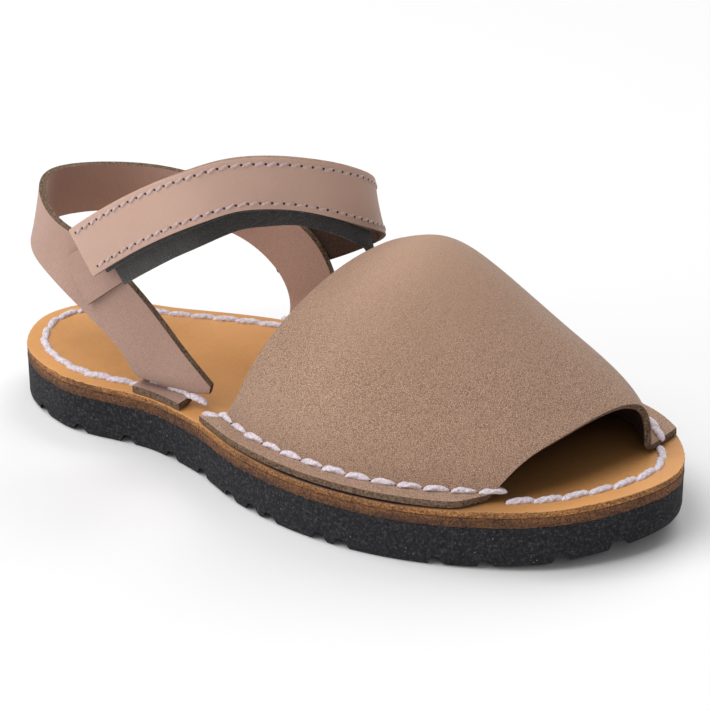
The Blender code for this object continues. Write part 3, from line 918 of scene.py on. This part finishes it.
def build_light():
    """Bright even surround with a large soft box above."""
    world = bpy.data.worlds.new("studio")
    world.use_nodes = True
    world.node_tree.nodes["Background"].inputs["Color"].default_value = (1, 1, 1, 1)
    world.node_tree.nodes["Background"].inputs["Strength"].default_value = 0.30
    bpy.context.scene.world = world
    area_light("key", (-0.40, -0.35, 1.05), 1.1, 11.5)
    area_light("side", (-0.7, -1.0, 0.45), 0.8, 4.5)
    area_light("fill", (0.9, -0.7, 0.6), 0.9, 1.5)
    area_light("back", (0.0, 0.9, 1.0), 1.1, 7.0)


def build_camera():
    """Camera at the photograph's angle and distance."""
    a, e = CAMERA_AZIMUTH, CAMERA_ELEVATION
    back = Vector((math.sin(a) * math.cos(e), -math.cos(a) * math.cos(e), math.sin(e)))
    right = Vector((math.cos(a), math.sin(a), 0.0))
    up = back.cross(right)
    rolled_right = right * math.cos(CAMERA_ROLL) - up * math.sin(CAMERA_ROLL)
    rolled_up = right * math.sin(CAMERA_ROLL) + up * math.cos(CAMERA_ROLL)
    bpy.context.scene.view_settings.view_transform = "Standard"
    data = bpy.data.cameras.new("camera")
    data.sensor_width = 36.0
    data.lens = CAMERA_LENS
    item = bpy.data.objects.new("camera", data)
    turn = Matrix((rolled_right, rolled_up, back)).transposed()
    item.matrix_world = Matrix.Translation(Vector(LOOK_AT) + back * CAMERA_DISTANCE) @ turn.to_4x4()
    bpy.context.scene.collection.objects.link(item)
    bpy.context.scene.camera = item


def dress(item, nodes, materials):
    """Give a piece its materials and hand it to the frame."""
    kept = [face.material_index for face in item.data.polygons]
    item.data.materials.clear()
    for material in materials:
        item.data.materials.append(material)
    item.data.polygons.foreach_set("material_index", kept)
    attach(item, "root")
    if nodes:
        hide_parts(*nodes)


def build_shoe():
    """All pieces of the sandal."""
    taupe = nubuck("taupe_nubuck_skin", (0.43, 0.275, 0.193), (0.36, 0.222, 0.150),
                   (0.415, 0.253, 0.172))
    rosy = nubuck("rosy_nubuck_skin", (0.43, 0.275, 0.220), (0.375, 0.230, 0.180),
                  (0.42, 0.26, 0.19), grain=0.35)
    pale = nubuck("strap_nubuck", (0.57, 0.375, 0.30), (0.51, 0.330, 0.262),
                  (0.56, 0.36, 0.275), grain=0.25)
    flesh = raw_edge("brown_flesh", (0.075, 0.040, 0.027), (0.030, 0.016, 0.011),
                     (0.055, 0.028, 0.018))
    cut = raw_edge("cut_edge", (0.27, 0.18, 0.12), (0.035, 0.018, 0.012), (0.14, 0.080, 0.050))

    outsole, board, footbed = build_sole()
    dress(outsole, ["outsole"], [rubber()])
    umber, amber, honey = (0.085, 0.030, 0.012), (0.30, 0.115, 0.035), (0.66, 0.29, 0.085)
    board_edge = sole_edge("board_edge", OUTSOLE_TOP, MIDSOLE_TOP, umber, amber)
    dress(board, ["midsole"], [board_edge])
    bed_edge = sole_edge("bed_edge", MIDSOLE_TOP, BASE_TOP, amber, honey)
    dress(footbed, ["insole"], [footbed_leather(), bed_edge])
    for face in footbed.data.polygons:
        face.material_index = 0 if face.normal.z > 0.6 else 1

    vamp = sheet_copy("vamp", "vamp_leather")
    dress(vamp, ["vamp"], [taupe, flesh, cut])
    sling = sheet_copy("heel_strap", "sling_leather")
    dress(sling, ["heel_strap"], [rosy, rosy, cut])
    strap = sheet_copy("ankle_strap", "strap_leather")
    tan = raw_edge("strap_edge", (0.46, 0.30, 0.22), (0.20, 0.12, 0.08), (0.38, 0.24, 0.17))
    dress(strap, ["ankle_strap"], [pale, flesh, tan])
    tab = sheet_copy("closure_tab", "tab_leather")
    dress(tab, ["closure_tab"], [rosy, rosy, cut])
    for name, piece in (("hook_tape", "hook_band"), ("loop_tape", "loop_band")):
        tape = sheet_copy(name, piece)
        tape.data.transform(Matrix.Translation((0.0, 0.0, -TAPE_DROP)))
        dress(tape, [name], [fuzzy_tape()] * 3)

    low = bmesh.new()
    for item in (footbed, vamp, sling):
        low.from_mesh(item.data)
    tree = BVHTree.FromBMesh(low)
    low.free()
    thread, holes = build_sole_seam(tree)
    dress(thread, [], [cotton("sole_cotton", (0.83, 0.76, 0.81), (0.42, 0.33, 0.38))])
    # Near black colour of the awl hole discs: painted shade.
    awl = raw_edge("awl_hole_painted_shade", (0.10, 0.055, 0.04), (0.02, 0.01, 0.008), (0.05, 0.03, 0.02))
    dress(holes, [], [awl])
    build_strap_seams(strap)


stage_floor()
build_shoe()
build_light()
build_camera()
